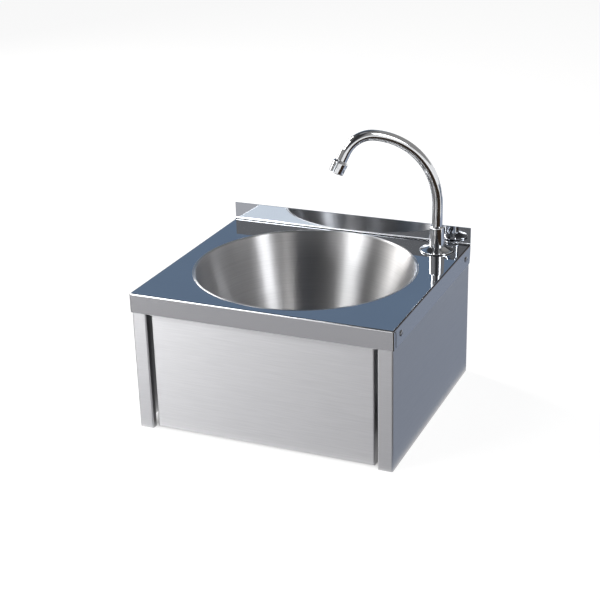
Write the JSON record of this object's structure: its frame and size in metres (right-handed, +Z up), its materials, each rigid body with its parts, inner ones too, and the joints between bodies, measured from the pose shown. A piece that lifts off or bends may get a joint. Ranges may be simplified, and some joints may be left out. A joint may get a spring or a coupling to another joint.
{
  "type": "stainless steel hand wash sink",
  "caption": "Wall-hung stainless steel hand wash basin with a round bowl, a knee-operated front panel and a swan-neck swivel spout.",
  "frame": {"origin": "middle of the deck's footprint, level with the lower edge of the casing", "axes": "+X to the user's right, +Y towards the wall behind, +Z up"},
  "size_m": [0.404, 0.355, 0.4103],
  "materials": {
    "polished_steel": "polished sheet",
    "bowl_steel": "spun, brushed round",
    "casing_steel": "fine satin sheet",
    "panel_steel": "horizontal satin grain",
    "fastener_steel": "bright fasteners",
    "spring_steel": "drawn wire",
    "chrome": "bright chrome",
    "brass": "as machined",
    "rubber": "black seal rubber",
    "black_plastic": "moulded",
    "white_plastic": "moulded",
    "braided_hose": "woven steel braid"
  },
  "bodies": {
    "basin": {"deck": "polished_steel", "bowl": "bowl_steel", "right_side_panel": "casing_steel", "left_side_panel": "casing_steel", "rear_rail": "casing_steel", "valve_bracket": "casing_steel", "deck_screws": "fastener_steel", "deck_screw_nuts": "fastener_steel", "pivot_screws": "fastener_steel", "pivot_nuts": "fastener_steel", "pivot_spacers": "fastener_steel", "strainer_screw": "fastener_steel", "backing_washer": "fastener_steel", "valve_spring": "spring_steel", "waste_body": "white_plastic", "valve_bonnet": "brass", "valve_body": "brass", "valve_locknut": "brass", "mixer_body": "brass", "union_nut": "brass", "hot_check_valve": "brass", "cold_check_valve": "brass", "shank_nut": "brass", "hose_valve_nut": "chrome", "hose_spout_nut": "chrome", "hose_ferrules": "fastener_steel", "outlet_hose": "braided_hose", "spout_base": "chrome", "spout_collar": "chrome", "waste_strainer": "polished_steel", "stem_seal": "rubber", "union_washer": "rubber", "base_seal": "rubber", "deck_washer": "rubber", "strainer_gasket": "rubber", "waste_gasket": "rubber"},
    "knee": {"knee_panel": "panel_steel", "push_bracket": "casing_steel", "adjusting_screw": "fastener_steel", "adjusting_nut": "fastener_steel", "pivot_bushes": "black_plastic"},
    "plunger": {"plunger_button": "chrome", "valve_plunger": "brass", "plunger_washer": "rubber"},
    "spout": {"spout_tube": "chrome", "spout_spigot": "brass", "spigot_seals": "rubber", "retaining_ring": "white_plastic", "aerator_housing": "chrome", "aerator_washer": "rubber", "aerator_insert": "white_plastic"},
    "thermostat": {"temperature_spindle": "brass", "temperature_knob": "black_plastic"}
  },
  "joints": [
    {"name": "knee_hinge", "type": "hinge", "parent": "basin", "child": "knee", "pos_m": [0, -0.1474, 0.198], "axis": [1, 0, 0], "range_deg": [0, 4], "stiffness_Nm_per_rad": 20, "springref_deg": -2.86},
    {"name": "plunger_slide", "type": "slide", "parent": "basin", "child": "plunger", "axis": [0, 1, 0], "range_m": [0, 0.0108], "deforming": ["valve_spring"]},
    {"name": "spout_swivel", "type": "hinge", "parent": "basin", "child": "spout", "pos_m": [0.158, 0.1388, 0.2125], "axis": [0, 0, 1], "range_deg": [-50, 140]},
    {"name": "temperature_turn", "type": "hinge", "parent": "basin", "child": "thermostat", "pos_m": [0.062, -0.0717, 0.02], "axis": [0, 0, 1], "range_deg": [-70, 70]}
  ],
  "couplings": [
    {"joint": "plunger_slide", "follows": "knee_hinge", "m_per_rad": 0.154}
  ]
}
